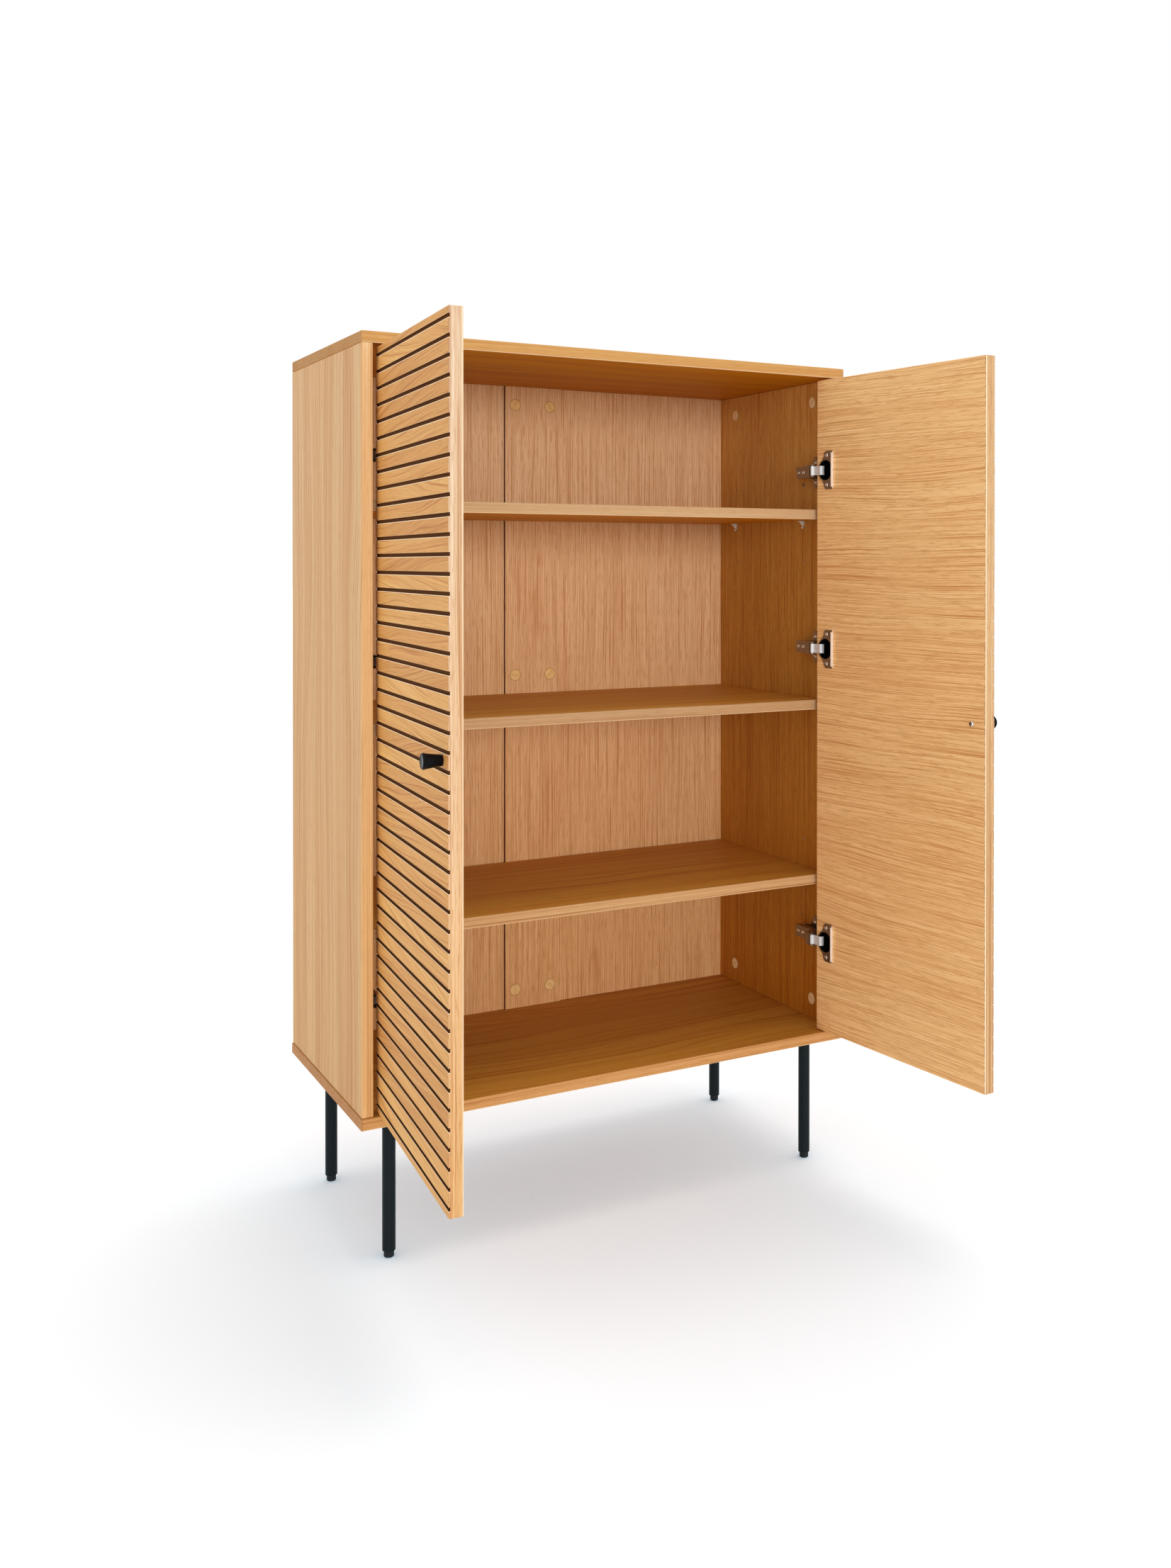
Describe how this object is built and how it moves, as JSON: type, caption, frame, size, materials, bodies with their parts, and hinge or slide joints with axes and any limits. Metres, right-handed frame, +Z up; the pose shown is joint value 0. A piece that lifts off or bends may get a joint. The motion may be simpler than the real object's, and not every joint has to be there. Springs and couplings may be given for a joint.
{
  "type": "highboard",
  "caption": "Oak-veneered highboard on round black legs, with horizontally grooved doors on concealed hinges, and a fixed shelf and adjustable shelves behind them.",
  "frame": {"origin": "on the floor under the middle of the case", "axes": "+Z up, +Y to the back, +X to the right as seen from the front"},
  "size_m": [0.8643, 0.7446, 1.3],
  "materials": {
    "oak_veneer": "matt lacquered oak veneer",
    "oak_door": "matt lacquered oak veneer, grain across the door",
    "oak_back": "matt oak finish",
    "black_powder_coat": "satin black powder coat",
    "black_plastic": "satin black",
    "nickel_steel": "bright nickel-plated steel",
    "clear_plastic": "clear",
    "grey_plastic": "matt"
  },
  "bodies": {
    "case": {"top_panel": "oak_veneer", "bottom_panel": "oak_veneer", "left_side_panel": "oak_veneer", "right_side_panel": "oak_veneer", "middle_shelf": "oak_veneer", "lower_shelf": "oak_veneer", "upper_shelf": "oak_veneer", "left_back_panel": "oak_back", "right_back_panel": "oak_back", "lower_back_rail": "oak_back", "upper_back_rail": "oak_back", "lower_front_left_shelf_pin": "clear_plastic", "lower_front_right_shelf_pin": "clear_plastic", "lower_rear_left_shelf_pin": "clear_plastic", "lower_rear_right_shelf_pin": "clear_plastic", "upper_front_left_shelf_pin": "clear_plastic", "upper_front_right_shelf_pin": "clear_plastic", "upper_rear_left_shelf_pin": "clear_plastic", "upper_rear_right_shelf_pin": "clear_plastic", "hole_plug": "grey_plastic", "front_left_leg": "black_powder_coat", "front_right_leg": "black_powder_coat", "rear_left_leg": "black_powder_coat", "rear_right_leg": "black_powder_coat", "left_top_hinge_mounting_plate": "nickel_steel", "left_middle_hinge_mounting_plate": "nickel_steel", "left_bottom_hinge_mounting_plate": "nickel_steel", "left_top_hinge_arm": "nickel_steel", "left_middle_hinge_arm": "nickel_steel", "left_bottom_hinge_arm": "nickel_steel", "right_top_hinge_mounting_plate": "nickel_steel", "right_middle_hinge_mounting_plate": "nickel_steel", "right_bottom_hinge_mounting_plate": "nickel_steel", "right_top_hinge_arm": "nickel_steel", "right_middle_hinge_arm": "nickel_steel", "right_bottom_hinge_arm": "nickel_steel"},
    "left_door": {"left_door": "oak_door", "left_knob": "black_plastic", "left_knob_screw": "nickel_steel", "left_top_hinge_cup": "nickel_steel", "left_middle_hinge_cup": "nickel_steel", "left_bottom_hinge_cup": "nickel_steel"},
    "left_top_hinge_link": {"left_top_hinge_link": "nickel_steel"},
    "left_middle_hinge_link": {"left_middle_hinge_link": "nickel_steel"},
    "left_bottom_hinge_link": {"left_bottom_hinge_link": "nickel_steel"},
    "right_door": {"right_door": "oak_door", "right_knob": "black_plastic", "right_knob_screw": "nickel_steel", "right_top_hinge_cup": "nickel_steel", "right_middle_hinge_cup": "nickel_steel", "right_bottom_hinge_cup": "nickel_steel"},
    "right_top_hinge_link": {"right_top_hinge_link": "nickel_steel"},
    "right_middle_hinge_link": {"right_middle_hinge_link": "nickel_steel"},
    "right_bottom_hinge_link": {"right_bottom_hinge_link": "nickel_steel"},
    "front_left_levelling_foot": {"front_left_levelling_foot": "black_plastic"},
    "front_right_levelling_foot": {"front_right_levelling_foot": "black_plastic"},
    "rear_left_levelling_foot": {"rear_left_levelling_foot": "black_plastic"},
    "rear_right_levelling_foot": {"rear_right_levelling_foot": "black_plastic"}
  },
  "joints": [
    {"name": "left_door_hinge", "type": "hinge", "parent": "case", "child": "left_door", "pos_m": [-0.3713, -0.185, 0.749], "axis": [0, 0, 1], "range_deg": [-8.6, 94.4]},
    {"name": "left_top_hinge_link_turn", "type": "hinge", "parent": "case", "child": "left_top_hinge_link", "pos_m": [-0.351, -0.171, 1.1324], "axis": [0, 0, 1], "range_deg": [-45.6, 4.4]},
    {"name": "left_middle_hinge_link_turn", "type": "hinge", "parent": "case", "child": "left_middle_hinge_link", "pos_m": [-0.351, -0.171, 0.842], "axis": [0, 0, 1], "range_deg": [-45.6, 4.4]},
    {"name": "left_bottom_hinge_link_turn", "type": "hinge", "parent": "case", "child": "left_bottom_hinge_link", "pos_m": [-0.351, -0.171, 0.3644], "axis": [0, 0, 1], "range_deg": [-45.6, 4.4]},
    {"name": "right_door_hinge", "type": "hinge", "parent": "case", "child": "right_door", "pos_m": [0.3713, -0.185, 0.749], "axis": [0, 0, 1], "range_deg": [-95.8, 7.2]},
    {"name": "right_top_hinge_link_turn", "type": "hinge", "parent": "case", "child": "right_top_hinge_link", "pos_m": [0.351, -0.171, 1.1324], "axis": [0, 0, 1], "range_deg": [-3.8, 46.3]},
    {"name": "right_middle_hinge_link_turn", "type": "hinge", "parent": "case", "child": "right_middle_hinge_link", "pos_m": [0.351, -0.171, 0.842], "axis": [0, 0, 1], "range_deg": [-3.8, 46.3]},
    {"name": "right_bottom_hinge_link_turn", "type": "hinge", "parent": "case", "child": "right_bottom_hinge_link", "pos_m": [0.351, -0.171, 0.3644], "axis": [0, 0, 1], "range_deg": [-3.8, 46.3]},
    {"name": "front_left_foot_slide", "type": "slide", "parent": "case", "child": "front_left_levelling_foot", "axis": [0, 0, -1], "range_m": [0, 0.01]},
    {"name": "front_right_foot_slide", "type": "slide", "parent": "case", "child": "front_right_levelling_foot", "axis": [0, 0, -1], "range_m": [0, 0.01]},
    {"name": "rear_left_foot_slide", "type": "slide", "parent": "case", "child": "rear_left_levelling_foot", "axis": [0, 0, -1], "range_m": [0, 0.01]},
    {"name": "rear_right_foot_slide", "type": "slide", "parent": "case", "child": "rear_right_levelling_foot", "axis": [0, 0, -1], "range_m": [0, 0.01]}
  ],
  "couplings": [
    {"joint": "left_top_hinge_link_turn", "follows": "left_door_hinge", "ratio": -0.48},
    {"joint": "left_middle_hinge_link_turn", "follows": "left_door_hinge", "ratio": -0.48},
    {"joint": "left_bottom_hinge_link_turn", "follows": "left_door_hinge", "ratio": -0.48},
    {"joint": "right_top_hinge_link_turn", "follows": "right_door_hinge", "ratio": -0.48},
    {"joint": "right_middle_hinge_link_turn", "follows": "right_door_hinge", "ratio": -0.48},
    {"joint": "right_bottom_hinge_link_turn", "follows": "right_door_hinge", "ratio": -0.48}
  ]
}
